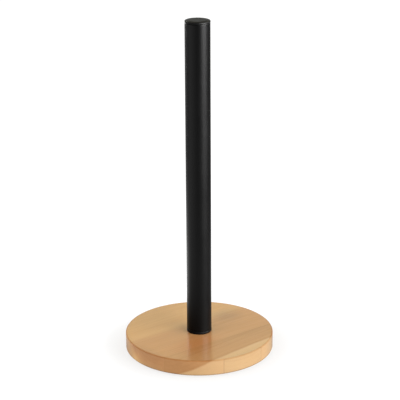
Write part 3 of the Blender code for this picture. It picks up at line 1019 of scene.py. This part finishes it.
# %% Room light
ROOM_FRONT, ROOM_SEEN = (0.10, 0.10, 0.10, 1), (1.02, 1.02, 1.02, 1)
WALL_LOW, WALL_HIGH, CEILING = (1.12, 1.16, 1.25, 1), (1.0, 0.915, 0.50, 1), (0.40, 0.40, 0.40, 1)
WALL_STEP, CEILING_STEP, FRONT_STEP = (0.27, 0.36), (0.47, 0.57), (-0.35, 0.45)
room = bpy.data.worlds.new("white_room")
bpy.context.scene.world = room
room.use_nodes = True
tree = room.node_tree
tree.nodes.clear()
heading = place(tree, "SeparateXYZ", {0: place(tree, "TexCoord").outputs["Generated"]}).outputs
wall = blend_colours(tree, step_up(tree, heading["Z"], *WALL_STEP), WALL_LOW, WALL_HIGH)
wall = blend_colours(tree, step_up(tree, heading["Z"], *CEILING_STEP), wall, CEILING)
light = blend_colours(tree, step_up(tree, heading["Y"], *FRONT_STEP), ROOM_FRONT, wall)
glowing = place(tree, "Background", {"Color": light, "Strength": 1.0}).outputs[0]
plain = place(tree, "Background", {"Color": ROOM_SEEN, "Strength": 1.0}).outputs[0]
shader = either(tree, place(tree, "LightPath").outputs["Is Camera Ray"], glowing, plain)
place(tree, "OutputWorld", {"Surface": shader})
print("white_room has", len(tree.nodes), "nodes")

# %% [markdown]
# ## Lights
# A wide softbox stands far out on the right and draws the tall highlight on the tube. The faint one on
# its left side comes from the floor. A small low lamp at the back touches the plug's edge. A studio sets
# shine and light apart with flags and screens, so here some lamps only shine in the black pieces, and the
# others only light matt surfaces. None shows to the camera.

# %% Softboxes
AIM = Vector((0, 0, 0.17))


def softbox(name, azimuth, distance, height, width, tall, radiance, shines):
    """A rectangular light at an angle round from the front, to the right if positive."""
    turn = math.radians(azimuth)
    spot = Vector((distance * math.sin(turn), -distance * math.cos(turn), height))
    bpy.ops.object.select_all(action="DESELECT")
    bpy.ops.object.light_add(type="AREA", location=spot)
    lamp = bpy.context.object
    lamp.name = name
    lamp.rotation_euler = (AIM - spot).to_track_quat("-Z", "Y").to_euler()
    lamp.data.shape, lamp.data.size, lamp.data.size_y = "RECTANGLE", width, tall
    lamp.data.energy = radiance * math.pi * width * tall
    lamp.visible_camera, lamp.visible_glossy, lamp.visible_diffuse = False, shines, not shines
    return lamp


key_shine = softbox("key_shine", 61, 2.0, 0.85, 1.75, 1.6, 75.0, True)
edge_shine = softbox("edge_shine", -139, 1.2, 0.42, 0.45, 0.35, 36.0, True)
softbox("key_light", 59, 1.1, 0.46, 1.25, 0.9, 5.5, False)
softbox("fill_light", -62, 1.3, 0.60, 1.8, 1.1, 2.5, False)
softbox("top_light", 20, 0.25, 1.3, 1.6, 1.6, 0.55, False)

# %% Flag the shine off the wood
black_pieces = bpy.data.collections.new("black_pieces")
for piece in (tube, cap, foot_plug):
    black_pieces.objects.link(piece)
for lamp in (key_shine, edge_shine):
    lamp.light_linking.receiver_collection = black_pieces

# %% [markdown]
# ## Camera
# The view is from a little above, through a long lens and straight from the front. The camera is turned
# by hairs to the side and about its own axis, because no camera stands perfectly square.

# %% Camera
CAMERA_DISTANCE, CAMERA_HEIGHT, LENS = 1.4842, 0.67369, 142.3
PITCH_DOWN, YAW, ROLL = math.radians(19.145), math.radians(0.058), math.radians(0.33)
bpy.ops.object.select_all(action="DESELECT")
bpy.ops.object.camera_add(location=(0, -CAMERA_DISTANCE, CAMERA_HEIGHT))
camera = bpy.context.object
camera.name = "front_camera"
camera.rotation_mode = "XYZ"
aim = Matrix.Rotation(-YAW, 3, "Z") @ Matrix.Rotation(math.pi / 2 - PITCH_DOWN, 3, "X")
camera.rotation_euler = (aim @ Matrix.Rotation(-ROLL, 3, "Z")).to_euler()
camera.data.lens, camera.data.sensor_width = LENS, 36.0
camera.data.clip_start, camera.data.clip_end = 0.01, 100
bpy.context.scene.camera = camera
bpy.context.scene.view_settings.view_transform = "Standard"
print("camera", [round(v, 4) for v in camera.location], "lens", LENS)
